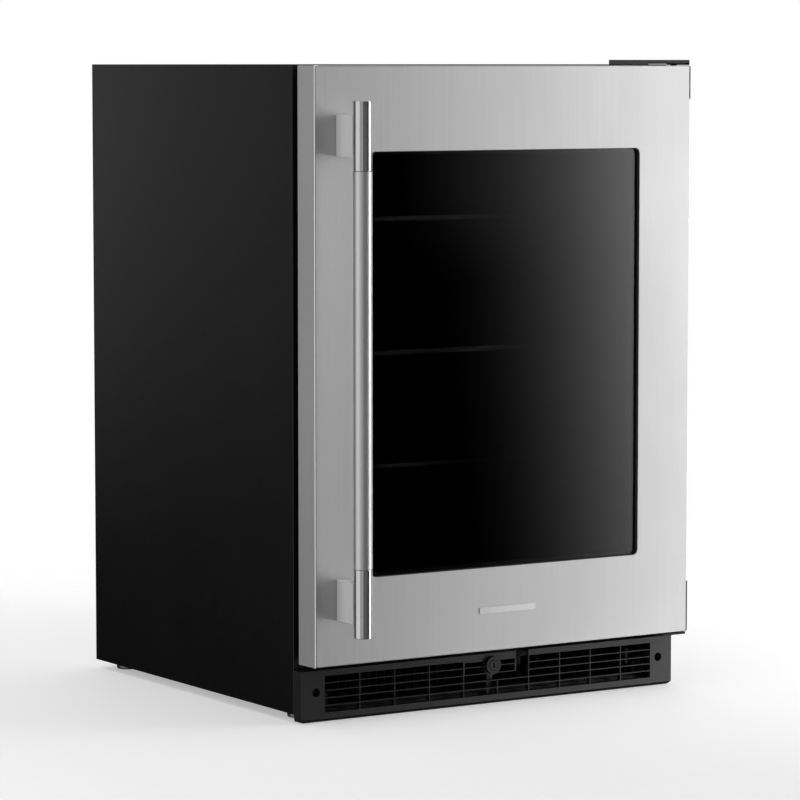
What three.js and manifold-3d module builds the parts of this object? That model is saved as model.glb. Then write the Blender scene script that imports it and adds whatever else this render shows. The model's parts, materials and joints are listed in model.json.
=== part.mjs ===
// Undercounter refrigerator with a glass door, built as the separate pieces it comes apart into.
// Millimetres. +Z is up, the door faces -Y, X = 0 is the middle of the cabinet, Z = 0 is the floor.
import * as THREE from "three";
import { mergeVertices } from "three/addons/utils/BufferGeometryUtils.js";
import Module from "manifold-3d";

const wasm = await Module();
wasm.setup();

// ---------------------------------------------------------------- driving dimensions
const WIDTH = 606; // across the side panels
const HEIGHT = 867; // floor to cabinet top, legs screwed right in
const CABINET_DEPTH = 554;
const DOOR_THICKNESS = 42;
const DOOR_GAP = 13.5; // closed door to cabinet front, filled by the gasket
const HANDLE_DIAMETER = 25;
const HANDLE_STANDOFF = 48; // door face to the axis of the handle
const FIT = 0.3; // gap left between two pieces that touch
const SHEET = 1.2; // sheet metal of wrapper and door

const HALF = WIDTH / 2;
const HANDLE_REACH = HANDLE_STANDOFF + HANDLE_DIAMETER / 2;
const FRONT_Y = -(HANDLE_REACH + DOOR_THICKNESS + DOOR_GAP + CABINET_DEPTH) / 2;
const DOOR_FACE = FRONT_Y + HANDLE_REACH;
const DOOR_BACK = DOOR_FACE + DOOR_THICKNESS;
const CABINET_FRONT = DOOR_BACK + DOOR_GAP;
const CABINET_BACK = CABINET_FRONT + CABINET_DEPTH;

const CABINET_BOTTOM = 11;
const FLANGE = 14; // inward fold along the front edge of the wrapper
const INNER_HALF = HALF - SHEET - FIT; // what fits between the side panels
const INNER_TOP = HEIGHT - SHEET - FIT;
const FOAM_BOTTOM = 80;
const BREAKER_BACK = CABINET_FRONT + 6.1;
const FOAM_FRONT = BREAKER_BACK + FIT;
const PANEL_BACK = CABINET_BACK - FIT;
const FOAM_BACK = PANEL_BACK - SHEET - FIT;

// The cavity moulded in the foam, and the step over the machine compartment behind it.
const LINER = 1.5;
const CAVITY = { half: 258.3, floor: 118, hump_face: 85, hump_top: 297, back: 250.3, top: 822 };
const MACHINE = { front: 130, top: 262 };
const COVER_FACE = CABINET_BACK - 10; // the rear cover stands 10 mm inside the side panels

// Each shelf's top face and the front edge of its glass.
const SHELVES = {
  upper: { top: 658, front: -75 },
  middle: { top: 477, front: -111 },
  lower: { top: 312, front: -33 },
};
const SHELF = { half: 251, back: 205, glass: 4, corner: 4 };
const TRIM = { reach: 4, overlap: 5, above: 0.9, below: 0.9 };
const LEDGE = { reach: 12.5, front: -25, back: 190, thickness: 5 };

const DOOR_BOTTOM = 80;
const DOOR_TOP = HEIGHT - 1.5; // just under the cabinet top
const DOOR_RIGHT = HALF - SHEET - FIT; // the hinge plates make up the width on this side
const WINDOW = { half: 217, bottom: 193.5, top: 753.5, radius: 8 };
const GLASS_LAP = 8.2; // how far the glass runs behind the window's edge
const GLASS = 4;
const GLASS_SET_BACK = 6;
const BEZEL_LIP = 0.8; // how far the bezel shows inside the window's edge
const SIGHT = 5; // the same for the spacer and the frame behind the glass
const HINGE = { x: 287, y: DOOR_FACE + 18, pin: 4.5, bore: 5.3 };

const HANDLE = { x: -259.5, bottom: 123, top: 820, ferrule: 90.5, post: 45 };
const POST = { width: 22, height: 54.5 };

const GRILLE_FACE = DOOR_FACE + 36.5;
const GRILLE_BACK = CABINET_FRONT - FIT;
const GRILLE = { bottom: 1, top: 70, wall: 3, corner: 6, lip: 4, blade_back: GRILLE_FACE + 7, upstand: 15 };
const BAYS = { split: 9, left: 55.2, right: 51.6, count: 5 }; // five bays each side of the split
const ROWS = { bottom: 12.5, pitch: 10, count: 5, open_from: 2 };
const BAR = 1.1; // thickness of a louvre bar
const RIB = 1.2; // thickness of a divider between bays
const SCREW = { x: 280, z: 41, recess: 6, head: 4.5, shank: 2, hole: 2.4, slot: 0.6 };

const LOCK = { x: 1, z: 53.6, rim: 12, barrel: 9, plug: 7.2, boss: 14 };
const LOCK_FACE = GRILLE_FACE + 2;
const LOCK_PLATE = { right: 41, thickness: 4, strip: 59.4, end: 2, first_row: 3 };
const STRIKE = { x: [45, 56], y: [-224.5, -222.5], bottom: 48, thickness: 1.5 };

const LEGS = {
  front_left: [-270, -178],
  front_right: [270, -178],
  rear_left: [-270, 300],
  rear_right: [270, 300],
};
const EVAPORATOR_FAN = { x: 0, y: 223, z: 720, radius: 48, hub: 14, depth: 10 };
const CONDENSER_FAN = { x: 52, y: 235, z: 106, radius: 68, hub: 18, depth: 14 };
const BUTTONS = { minus: 20, plus: 50, power: 80 };
const BUTTON_Z = 807;

// ---------------------------------------------------------------- solids
const solidOf = (geometry) => {
  const bare = geometry.index ? geometry.toNonIndexed() : geometry.clone();
  bare.deleteAttribute("normal");
  bare.deleteAttribute("uv");
  const merged = mergeVertices(bare, 1e-4);
  return new wasm.Manifold(
    new wasm.Mesh({
      numProp: 3,
      vertProperties: new Float32Array(merged.attributes.position.array),
      triVerts: new Uint32Array(merged.index.array),
    }),
  );
};

const geometryOf = (solid) => {
  const { vertProperties, triVerts } = solid.getMesh();
  const indexed = new THREE.BufferGeometry();
  indexed.setAttribute("position", new THREE.BufferAttribute(vertProperties, 3));
  indexed.setIndex(new THREE.BufferAttribute(triVerts, 1));
  const flat = indexed.toNonIndexed();
  flat.computeVertexNormals();
  return flat;
};

const join = (first, ...rest) => rest.reduce((sum, one) => sum.add(one), first);
const cut = (first, ...tools) => tools.reduce((left, tool) => left.subtract(tool), first);
const about = (centre, width) => [centre - width / 2, centre + width / 2];
const both = (half) => [-half, half];
const grow = ([low, high], by) => [low - by, high + by];

const box = ([x0, x1], [y0, y1], [z0, z1]) => {
  const block = new THREE.BoxGeometry(x1 - x0, y1 - y0, z1 - z0);
  return solidOf(block.translate((x0 + x1) / 2, (y0 + y1) / 2, (z0 + z1) / 2));
};

// A round bar along x, y or z through the point (u, v) of the other two axes, in their order.
const bar = (axis, radius, [from, to], [u, v], sides = 24) => {
  const rod = new THREE.CylinderGeometry(radius, radius, to - from, sides);
  const middle = (from + to) / 2;
  if (axis === "x") return solidOf(rod.rotateZ(Math.PI / 2).translate(middle, u, v));
  if (axis === "y") return solidOf(rod.translate(u, middle, v));
  return solidOf(rod.rotateX(Math.PI / 2).translate(u, v, middle));
};

const outline = (points) => new THREE.Shape(points.map(([a, b]) => new THREE.Vector2(a, b)));

const rounded = ([a0, a1], [b0, b1], radius) => {
  const shape = new THREE.Shape();
  const quarter = Math.PI / 2;
  shape.moveTo(a0 + radius, b0);
  shape.absarc(a1 - radius, b0 + radius, radius, -quarter, 0);
  shape.absarc(a1 - radius, b1 - radius, radius, 0, quarter);
  shape.absarc(a0 + radius, b1 - radius, radius, quarter, 2 * quarter);
  shape.absarc(a0 + radius, b0 + radius, radius, 2 * quarter, 3 * quarter);
  return shape;
};

const extruded = (shape, depth, curveSegments) =>
  new THREE.ExtrudeGeometry(shape, { depth, curveSegments, bevelEnabled: false });

// A shape drawn in X and Z, seen from the front, as thick as the range of Y.
const facing = (shape, [y0, y1], segments = 5) =>
  solidOf(extruded(shape, y1 - y0, segments).rotateX(Math.PI / 2).translate(0, y1, 0));

// A shape drawn in Y and Z, seen from the side, as wide as the range of X.
const profile = (shape, [x0, x1]) => {
  const turn = new THREE.Matrix4().makeBasis(
    new THREE.Vector3(0, 1, 0),
    new THREE.Vector3(0, 0, 1),
    new THREE.Vector3(1, 0, 0),
  );
  return solidOf(extruded(shape, x1 - x0, 5).applyMatrix4(turn).translate(x0, 0, 0));
};

// A shape drawn in X and Y, seen from above, as thick as the range of Z.
const plan = (shape, [z0, z1], segments = 5) =>
  solidOf(extruded(shape, z1 - z0, segments).translate(0, 0, z0));

// A turned piece about Z from (radius, height) points, given from the bottom up.
const turned = (points, sides = 24) =>
  solidOf(
    new THREE.LatheGeometry(points.map(([r, z]) => new THREE.Vector2(r, z)), sides).rotateX(Math.PI / 2),
  );

const ring = (outer, inner, depth) => cut(facing(outer, depth), facing(inner, grow(depth, 1)));

// ---------------------------------------------------------------- materials
const finish = (color, roughness, metalness, opacity = 1) => ({ color, roughness, metalness, opacity });
const FINISHES = {
  black_paint: finish(0x17181a, 0.45, 0.1),
  stainless: finish(0xb9babb, 0.34, 1),
  polished_steel: finish(0xc8c9ca, 0.2, 1),
  zinc: finish(0x9da0a2, 0.4, 0.9),
  black_plastic: finish(0x1c1d1e, 0.55, 0),
  liner_plastic: finish(0x2a2c2e, 0.5, 0),
  foam: finish(0xd9c48b, 0.95, 0),
  rubber: finish(0x101011, 0.8, 0),
  tinted_glass: finish(0x0a0b0c, 0.05, 0, 0.5),
  clear_glass: finish(0xbfd0cc, 0.05, 0, 0.35),
  aluminium: finish(0xb4b7b9, 0.4, 0.9),
  lens: finish(0xe8ecef, 0.4, 0, 0.8),
};

const materialOf = (name) => {
  const { color, roughness, metalness, opacity } = FINISHES[name];
  const transparent = opacity < 1;
  return new THREE.MeshStandardMaterial({ color, roughness, metalness, opacity, transparent });
};

const piece = (name, material, solid, position = [0, 0, 0]) => {
  const mesh = new THREE.Mesh(geometryOf(solid), materialOf(material));
  mesh.name = name;
  mesh.position.set(...position);
  return mesh;
};

const groupOf = (...pieces) => {
  const group = new THREE.Group();
  group.add(...pieces.flat(2));
  return group;
};

// ---------------------------------------------------------------- cabinet shell
// Top and sides are one folded sheet, open at the bottom, with a narrow fold round the front.
const outerWrapper = () =>
  cut(
    box(both(HALF), [CABINET_FRONT, CABINET_BACK], [CABINET_BOTTOM, HEIGHT]),
    box(both(HALF - SHEET), [CABINET_FRONT + SHEET, CABINET_BACK + 1], [0, HEIGHT - SHEET]),
    box(both(HALF - FLANGE), [CABINET_FRONT - 1, CABINET_FRONT + 2 * SHEET], [0, HEIGHT - FLANGE]),
  );

const backPanel = () => box(both(INNER_HALF), [PANEL_BACK - SHEET, PANEL_BACK], [MACHINE.top, INNER_TOP]);

// A tray with turned-up edges, two corner posts and a channel across the front, welded together.
const FRAME = { sheet: 1.5, tray_top: 36, air_gap: 250, air_from: 18 };
const CHANNEL = { depth: 19, z: [58, 75.7] };
const POST_AT = { x: 278, width: 20 };
const LEG_NUT = { radius: 10, top: 25, hole: 5.4 };
const baseFrame = () => {
  const { sheet, tray_top, air_gap, air_from } = FRAME;
  const floor = CABINET_BOTTOM + sheet;
  const deep = [CABINET_FRONT + sheet, COVER_FACE - FIT];
  const rail = [CABINET_FRONT + FIT, CABINET_FRONT + CHANNEL.depth];
  const tray = cut(
    box(both(INNER_HALF), deep, [CABINET_BOTTOM, tray_top]),
    box(both(INNER_HALF - sheet), grow(deep, -sheet), [floor, tray_top + 1]),
    box(both(air_gap), [deep[0] - 1, deep[0] + 2 * sheet], [air_from, tray_top + 1]),
  );
  const channel = cut(
    box(both(HALF - FLANGE - FIT), rail, CHANNEL.z),
    box(both(HALF), [rail[0] + sheet, rail[1] + 1], grow(CHANNEL.z, -sheet)),
  );
  const upright = [floor - 1, CHANNEL.z[0] + 1];
  const posts = [-1, 1].map((side) => box(about(side * POST_AT.x, POST_AT.width), rail, upright));
  const feet = Object.values(LEGS);
  const nuts = feet.map((at) => bar("z", LEG_NUT.radius, [floor - 1, LEG_NUT.top], at, 16));
  const studs = feet.map((at) => bar("z", LEG_NUT.hole, [0, tray_top], at, 16));
  const screws = [-1, 1].map((side) => bar("y", SCREW.hole, grow(rail, 1), [side * SCREW.x, SCREW.z], 12));
  return cut(join(tray, channel, ...posts, ...nuts), ...studs, ...screws);
};

// The liner's outline seen from the side, shrunk by a gap on every wall but the open front.
const cavityOutline = (gap) => {
  const floor = CAVITY.floor + gap;
  const face = CAVITY.hump_face - gap;
  const step = CAVITY.hump_top + gap;
  const back = CAVITY.back - gap;
  const top = CAVITY.top - gap;
  const open = CABINET_FRONT - 5;
  return outline([[open, floor], [face, floor], [face, step], [back, step], [back, top], [open, top]]);
};

const foamInsulation = () =>
  cut(
    box(both(INNER_HALF), [FOAM_FRONT, FOAM_BACK], [FOAM_BOTTOM, INNER_TOP]),
    profile(cavityOutline(0), both(CAVITY.half)),
    box(both(HALF), [MACHINE.front, CABINET_BACK], [FOAM_BOTTOM - 1, MACHINE.top]),
  );

const innerLiner = () => {
  const skin = FIT + LINER;
  const shell = cut(
    profile(cavityOutline(FIT), both(CAVITY.half - FIT)),
    profile(cavityOutline(skin), both(CAVITY.half - skin)),
    box(both(HALF), [CABINET_FRONT - 10, FOAM_FRONT], [0, HEIGHT]),
  );
  const ledges = Object.values(SHELVES).flatMap(({ top }) => {
    const under = top - SHELF.glass - FIT;
    const wall = CAVITY.half - skin;
    const lift = [under - LEDGE.thickness, under];
    return [-1, 1].map((side) => {
      const reach = [side * (wall + 1), side * (wall - LEDGE.reach)].sort((a, b) => a - b);
      return box(reach, [LEDGE.front, LEDGE.back], lift);
    });
  });
  return join(shell, ...ledges);
};

// The plastic frame that closes the gap between the steel wrapper and the liner at the front.
const breakerFrame = () => {
  const skin = FIT + LINER;
  const opening = box(
    both(CAVITY.half - skin),
    [CABINET_FRONT - 5, FOAM_FRONT + 5],
    [CAVITY.floor + skin, CAVITY.top - skin],
  );
  const behind = [CABINET_FRONT + SHEET + FIT, BREAKER_BACK];
  const flush = [CABINET_FRONT, behind[0] + 1];
  const reach = FLANGE + FIT;
  return cut(
    join(
      box(both(INNER_HALF), behind, [FOAM_BOTTOM, INNER_TOP]),
      box(both(HALF - reach), flush, [FOAM_BOTTOM, HEIGHT - reach]),
    ),
    opening,
  );
};

// Two banks of air slots.
const VENTS = { lefts: [-170, 0], width: 120, count: 9, bottom: 110, pitch: 15, height: 6 };
const GLAND = { at: [225, 62], hole: 9.3, neck: 9, flange: 12, nose: 7, bore: 4 };
const rearCover = () => {
  const sheet = [COVER_FACE, COVER_FACE + SHEET];
  const bank = (left) =>
    Array.from({ length: VENTS.count }, (_, row) => {
      const low = VENTS.bottom + row * VENTS.pitch;
      return box([left, left + VENTS.width], grow(sheet, 1), [low, low + VENTS.height]);
    });
  const plate = box(both(INNER_HALF), sheet, [CABINET_BOTTOM, MACHINE.top - FIT]);
  return cut(plate, ...VENTS.lefts.flatMap(bank), bar("y", GLAND.hole, grow(sheet, 1), GLAND.at, 20));
};

// The strain relief that the supply lead would come through.
const cordGland = () => {
  const step = (radius, from, to) => bar("y", radius, [COVER_FACE + from, COVER_FACE + to], GLAND.at, 20);
  return cut(
    join(step(GLAND.neck, -5, 3), step(GLAND.flange, SHEET + FIT, 4.5), step(GLAND.nose, 4, 9.5)),
    step(GLAND.bore, -10, 15),
  );
};

// Half the outline of a levelling leg: foot, collar and stud.
const LEG_OUTLINE = [[0, 0], [15, 0], [16, 1.5], [16, 5], [13, 8], [5, 8], [5, 47], [4, 48], [0, 48]];
const leg = () => turned(LEG_OUTLINE);

const cabinet = () =>
  groupOf(
    piece("outer_wrapper", "black_paint", outerWrapper()),
    piece("back_panel", "zinc", backPanel()),
    piece("base_frame", "black_paint", baseFrame()),
    piece("foam_insulation", "foam", foamInsulation()),
    piece("inner_liner", "liner_plastic", innerLiner()),
    piece("breaker_frame", "black_plastic", breakerFrame()),
    piece("rear_cover", "zinc", rearCover()),
    piece("cord_gland", "black_plastic", cordGland()),
    Object.entries(LEGS).map(([corner, at]) => piece("leg_" + corner, "zinc", leg(), [...at, 0])),
  );

// ---------------------------------------------------------------- inside the cavity
const shelfGlass = ({ top, front }) =>
  plan(rounded(both(SHELF.half), [front, SHELF.back], SHELF.corner), [top - SHELF.glass, top], 3);

// A metal channel pushed over the front edge of a shelf.
const shelfTrim = ({ top, front }) => {
  const { reach, overlap, above, below } = TRIM;
  const glass = [top - SHELF.glass, top];
  return cut(
    box(both(SHELF.half), [front - reach, front + overlap], [glass[0] - below, glass[1] + above]),
    box(both(HALF), [front - FIT, front + overlap + 1], grow(glass, FIT)),
  );
};

// Thin upright fins standing on one plate.
const FIN = 2;
const FIN_PLATE = 4;
const fins = ([x0, x1], depth, [z0, z1], count) => {
  const pitch = (x1 - x0) / count;
  const blades = Array.from({ length: count }, (_, i) => {
    const left = x0 + i * pitch;
    return box([left, left + FIN], depth, [z0 + 1, z1]);
  });
  return join(box([x0, x1], depth, [z0, z0 + FIN_PLATE]), ...blades);
};

// A cover over fan and coil: a round field of slots for the fan, and level slots for the return air.
const BACK_WALL = CAVITY.back - FIT - LINER;
const FAN_COVER = { half: 190, front: 213, z: [540, 800], wall: 2.5 };
const OUTLET = { radius: 50, pitch: 12, slot: 7, rows: [-3, -2, -1, 0, 1, 2, 3] };
const INLET = { half: 150, bottom: 562, pitch: 16, slot: 6, rows: [0, 1, 2, 3] };
const evaporatorCover = () => {
  const { half, front, z, wall } = FAN_COVER;
  const shell = cut(
    box(both(half), [front, BACK_WALL - FIT], z),
    box(both(half - wall), [front + wall, BACK_WALL + 1], grow(z, -wall)),
  );
  const through = [front - 1, front + wall + 1];
  const outlet = OUTLET.rows.map((row) => {
    const rise = row * OUTLET.pitch;
    const reach = Math.sqrt(OUTLET.radius ** 2 - rise ** 2);
    return box(both(reach), through, about(EVAPORATOR_FAN.z + rise, OUTLET.slot));
  });
  const inlet = INLET.rows.map((row) =>
    box(both(INLET.half), through, about(INLET.bottom + row * INLET.pitch, INLET.slot)),
  );
  return cut(shell, ...outlet, ...inlet);
};

const COIL = { half: 168, y: [220, 243], z: [548, 640], fins: 24 };
const MOTOR = { radius: 20, front: 231, arm: 70, arm_width: 14, arm_depth: 4 };
const evaporatorFanMotor = () => {
  const back = BACK_WALL - FIT;
  const { x, z } = EVAPORATOR_FAN;
  return join(
    bar("y", MOTOR.radius, [MOTOR.front, back], [x, z], 20),
    box(both(MOTOR.arm), [back - MOTOR.arm_depth, back], about(z, MOTOR.arm_width)),
  );
};

// Blades about the local Z axis: flat paddles with a pitch, their roots sunk in a hub.
const BLADE = { thickness: 1.6, width_to_radius: 0.42, pitch: 0.5, root: 3 };
const BLADES = 5;
const fan = ({ radius, hub, depth }) => {
  const paddle = (i) => {
    const length = radius - hub + BLADE.root;
    const flat = new THREE.BoxGeometry(length, radius * BLADE.width_to_radius, BLADE.thickness);
    flat.rotateX(BLADE.pitch).translate(hub - BLADE.root + length / 2, 0, 0);
    return solidOf(flat.rotateZ((i * 2 * Math.PI) / BLADES));
  };
  const ends = bar("z", radius, about(0, depth), [0, 0], 32);
  const all = join(...Array.from({ length: BLADES }, (_, i) => paddle(i)));
  return join(all.intersect(ends), bar("z", hub, about(0, depth), [0, 0], 20));
};

const evaporatorFan = () => {
  const mesh = piece("evaporator_fan", "black_plastic", fan(EVAPORATOR_FAN));
  mesh.position.set(EVAPORATOR_FAN.x, EVAPORATOR_FAN.y, EVAPORATOR_FAN.z);
  mesh.rotation.x = Math.PI / 2;
  return mesh;
};

const HOUSING = { half: 125, y: [-200, -110], z: [794, 819.9], wall: 2.5 };
const DISPLAY = { x: [-70, -10], z: [801, 813], sunk: 0.2, back: 2.3 };
const BUTTON = { radius: 4.5, hole: 5, length: 7.5, stands_out: 1.5, round: 0.5 };
const LAMP = { half: 100, y: [-170, -130], drop: 2.5 };
const controlHousing = () => {
  const { half, y, z, wall } = HOUSING;
  const front = [y[0] - 1, y[0] + wall + 1];
  const holes = Object.values(BUTTONS).map((x) => bar("y", BUTTON.hole, front, [x, BUTTON_Z], 16));
  return cut(
    box(both(half), y, z),
    box(both(half - wall), grow(y, -wall), [z[0] + wall, z[1] + 1]),
    box(DISPLAY.x, front, DISPLAY.z),
    ...holes,
  );
};

const displayLens = () => {
  const face = HOUSING.y[0];
  return box(grow(DISPLAY.x, -FIT), [face + DISPLAY.sunk, face + DISPLAY.back], grow(DISPLAY.z, -FIT));
};

const button = () => {
  const { radius, length, round } = BUTTON;
  return turned([[0, 0], [radius, 0], [radius, length - round], [radius - round, length], [0, length]], 16);
};

const controlButtons = () =>
  Object.entries(BUTTONS).map(([use, x]) => {
    const root = HOUSING.y[0] + BUTTON.length - BUTTON.stands_out;
    const mesh = piece("button_" + use, "liner_plastic", button(), [x, root, BUTTON_Z]);
    mesh.rotation.x = Math.PI / 2;
    return mesh;
  });

const lampLens = () => box(both(LAMP.half), LAMP.y, [HOUSING.z[0] - LAMP.drop, HOUSING.z[0] - FIT]);

const interior = () =>
  groupOf(
    Object.entries(SHELVES).map(([level, shelf]) => [
      piece("shelf_glass_" + level, "clear_glass", shelfGlass(shelf)),
      piece("shelf_trim_" + level, "aluminium", shelfTrim(shelf)),
    ]),
    piece("evaporator_cover", "liner_plastic", evaporatorCover()),
    piece("evaporator_coil", "aluminium", fins(both(COIL.half), COIL.y, COIL.z, COIL.fins)),
    piece("evaporator_fan_motor", "black_plastic", evaporatorFanMotor()),
    evaporatorFan(),
    piece("control_housing", "black_plastic", controlHousing()),
    piece("display_lens", "tinted_glass", displayLens()),
    controlButtons(),
    piece("lamp_lens", "lens", lampLens()),
  );

// ---------------------------------------------------------------- machine compartment
// A welded oval shell on a plate with four rubber-bushed feet.
const SHELL_OUTLINE = [[0, 0], [60, 0], [72, 14], [75, 40], [75, 90], [70, 122], [50, 145], [0, 152]];
const COMPRESSOR = { at: [-150, 235, 29], stretch: 1.25, plate: [78, 66, 4], foot: [62, 52], bush: 10 };
const compressor = () => {
  const { stretch, plate, foot, bush } = COMPRESSOR;
  const shell = turned(SHELL_OUTLINE, 28).scale([stretch, 1, 1]);
  const feet = both(foot[0]).flatMap((x) => both(foot[1]).map((y) => bar("z", bush, [-16, 3], [x, y], 14)));
  return join(shell, box(both(plate[0]), both(plate[1]), [0, plate[2]]), ...feet);
};

// A plate with a round duct, three arms across it and the motor they carry.
const SHROUD = { width: 170, z: [13, 200], plate: 3, duct: 26, gap: 4, wall: 4 };
const SHROUD_ARM = { thickness: 4, width: 8, motor: 22, motor_length: 33 };
const condenserFanShroud = () => {
  const { x, y, z, radius } = CONDENSER_FAN;
  const centre = [y, z];
  const front = x - 12;
  const bore = radius + SHROUD.gap;
  const rim = bore + SHROUD.wall;
  const plate = box([front, front + SHROUD.plate], about(y, SHROUD.width), SHROUD.z);
  const duct = bar("x", rim, [front, front + SHROUD.duct], centre, 32);
  const hole = bar("x", bore, [front - 1, front + SHROUD.duct + 1], centre, 32);
  const { thickness, width, motor, motor_length } = SHROUD_ARM;
  const length = bore + SHROUD.wall / 2;
  const arms = [0, 1, 2].map((i) => {
    const angle = (i * 2 * Math.PI) / 3 + Math.PI / 2;
    const reach = new THREE.BoxGeometry(thickness, width, length).translate(0, 0, length / 2);
    return solidOf(reach.rotateX(angle).translate(x + 12, y, z));
  });
  const housing = bar("x", motor, [x + 9, x + 9 + motor_length], centre, 20);
  return join(cut(join(plate, duct), hole), ...arms, housing);
};

const condenserFan = () => {
  const mesh = piece("condenser_fan", "black_plastic", fan(CONDENSER_FAN));
  mesh.position.set(CONDENSER_FAN.x, CONDENSER_FAN.y, CONDENSER_FAN.z);
  mesh.rotation.y = Math.PI / 2;
  return mesh;
};

const CONDENSER = { x: [-240, -20], y: [-168, 90], z: [16, 70], fins: 18 };
const PAN = { x: [112, 250], y: [150, 318], z: [13, 48], wall: 2.5 };
const drainPan = () => {
  const { x, y, z, wall } = PAN;
  return cut(box(x, y, z), box(grow(x, -wall), grow(y, -wall), [z[0] + wall, z[1] + 1]));
};

const machinery = () =>
  groupOf(
    piece("compressor", "black_paint", compressor(), COMPRESSOR.at),
    piece("condenser_coil", "black_paint", fins(CONDENSER.x, CONDENSER.y, CONDENSER.z, CONDENSER.fins)),
    piece("condenser_fan_shroud", "black_plastic", condenserFanShroud()),
    condenserFan(),
    piece("drain_pan", "liner_plastic", drainPan()),
  );

// ---------------------------------------------------------------- base grille and lock
const bayEdges = () => {
  const left = Array.from({ length: BAYS.count }, (_, i) => BAYS.split - (BAYS.count - i) * BAYS.left);
  const right = Array.from({ length: BAYS.count + 1 }, (_, i) => BAYS.split + i * BAYS.right);
  return [...left, ...right];
};

const rowEdge = (row) => ROWS.bottom + row * ROWS.pitch;

const grilleOutline = () => {
  const { bottom, top, corner } = GRILLE;
  const shape = new THREE.Shape();
  shape.moveTo(-HALF + corner, bottom);
  shape.absarc(HALF - corner, bottom + corner, corner, -Math.PI / 2, 0);
  shape.lineTo(HALF, top);
  shape.lineTo(-HALF, top);
  shape.absarc(-HALF + corner, bottom + corner, corner, Math.PI, 1.5 * Math.PI);
  return shape;
};

// The wedge that slants the grille's lower front edge.
const lowerSlant = () => {
  const { bottom, lip } = GRILLE;
  const [before, under] = [GRILLE_FACE - 1, bottom - 1];
  const inner = GRILLE_FACE + lip;
  const raised = bottom + lip;
  const slope = [[inner, bottom], [GRILLE_FACE, raised]];
  return profile(outline([[before, under], [inner, under], ...slope, [before, raised]]), both(HALF + 1));
};

const baseGrille = () => {
  const { bottom, top, wall, blade_back, upstand } = GRILLE;
  const edges = bayEdges();
  const field = [edges[0], edges[edges.length - 1]];
  const behind = [GRILLE_FACE + wall, CABINET_FRONT];
  const shell = cut(
    facing(grilleOutline(), [GRILLE_FACE, GRILLE_BACK]),
    box(both(HALF - wall), behind, [bottom + wall, top - wall]),
    lowerSlant(),
  );
  const rows = [rowEdge(0), rowEdge(ROWS.count)];
  const blades = box(grow(field, BAR), [GRILLE_FACE + 1, blade_back], grow(rows, BAR));
  const rear = box(both(HALF - 1), [GRILLE_BACK - wall, GRILLE_BACK], [bottom + 1, upstand]);
  const screws = [-1, 1].map((side) => [side * SCREW.x, SCREW.z]);
  const socket = [GRILLE_FACE + 1, GRILLE_BACK - 3];
  const sockets = screws.map((at) => bar("y", SCREW.recess + 2, socket, at, 20));
  const through = [GRILLE_FACE - 1, blade_back + 1];
  const slots = edges.slice(1).flatMap((right, bay) =>
    Array.from({ length: ROWS.count }, (_, row) => {
      const height = grow([rowEdge(row), rowEdge(row + 1)], -BAR / 2);
      return box(grow([edges[bay], right], -RIB / 2), through, height);
    }),
  );
  // Two bays are open above the lower rows, for the lock and for the strike to pass through.
  const notch = [edges[BAYS.count - 1] + RIB / 2, edges[BAYS.count + 1] - RIB / 2];
  const notch_z = [rowEdge(ROWS.open_from) + BAR / 2, top + 1];
  const opening = box(notch, grow([GRILLE_FACE, CABINET_FRONT], 1), notch_z);
  const recesses = screws.map((at) => bar("y", SCREW.recess, [GRILLE_FACE - 1, SCREW_SEAT], at, 20));
  const holes = screws.map((at) => bar("y", SCREW.hole, [GRILLE_FACE, CABINET_FRONT], at, 12));
  return cut(join(shell, blades, rear, ...sockets), ...slots, opening, ...recesses, ...holes);
};

const SCREW_SEAT = GRILLE_BACK - 6;
const SCREW_TOP = SCREW_SEAT - 3;
const grilleScrew = () =>
  cut(
    join(
      bar("y", SCREW.head, [SCREW_TOP, SCREW_SEAT - FIT], [0, 0], 16),
      bar("y", SCREW.shank, [SCREW_TOP + 2, CABINET_FRONT + 14], [0, 0], 12),
    ),
    box(both(SCREW.head - 1.5), [SCREW_TOP - 1, SCREW_TOP + 1.5], both(SCREW.slot)),
  );

// The plate that carries the lock: a top strip, two bars in line with the louvres and a boss.
const lockPlate = () => {
  const { right, thickness, strip, end, first_row } = LOCK_PLATE;
  const left = bayEdges()[BAYS.count - 1] + RIB / 2 + FIT;
  const wide = [left, right];
  const thick = [LOCK_FACE, LOCK_FACE + thickness];
  const top = GRILLE.top - FIT;
  const rows = [first_row, first_row + 1].map((row) => box(wide, thick, about(rowEdge(row), BAR)));
  const tall = [rowEdge(first_row) - BAR / 2, top];
  const ends = [left, right - end].map((x) => box([x, x + end], thick, tall));
  const boss = bar("y", LOCK.boss, thick, [LOCK.x, LOCK.z], 28);
  return cut(
    join(box(wide, thick, [strip, top]), ...rows, ...ends, boss),
    bar("y", LOCK.barrel + FIT, grow(thick, 1), [LOCK.x, LOCK.z], 24),
  );
};

const LOCK_RIM = [LOCK_FACE - 5, LOCK_FACE - FIT];
const CAM = { y: [LOCK_FACE + 6, LOCK_FACE + 9], reach: 44, tip: 5, hub: 8 };
const lockHousing = () => {
  const at = [LOCK.x, LOCK.z];
  const barrel = [LOCK_RIM[0] + 1, CAM.y[0] - 0.5];
  return cut(
    join(bar("y", LOCK.rim, LOCK_RIM, at, 32), bar("y", LOCK.barrel, barrel, at, 24)),
    bar("y", LOCK.plug + FIT, [LOCK_RIM[0] - 1, CAM.y[1]], at, 24),
  );
};

const KEYWAY = { width: 1.6, height: 8, depth: 3.5 };
const lockPlug = () => {
  const front = LOCK_RIM[0] - 0.5;
  const { width, height, depth } = KEYWAY;
  return cut(
    bar("y", LOCK.plug, [front, CAM.y[0] - FIT], [LOCK.x, LOCK.z], 24),
    box(about(LOCK.x, width), [front - 1, front + depth], about(LOCK.z, height)),
  );
};

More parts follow.
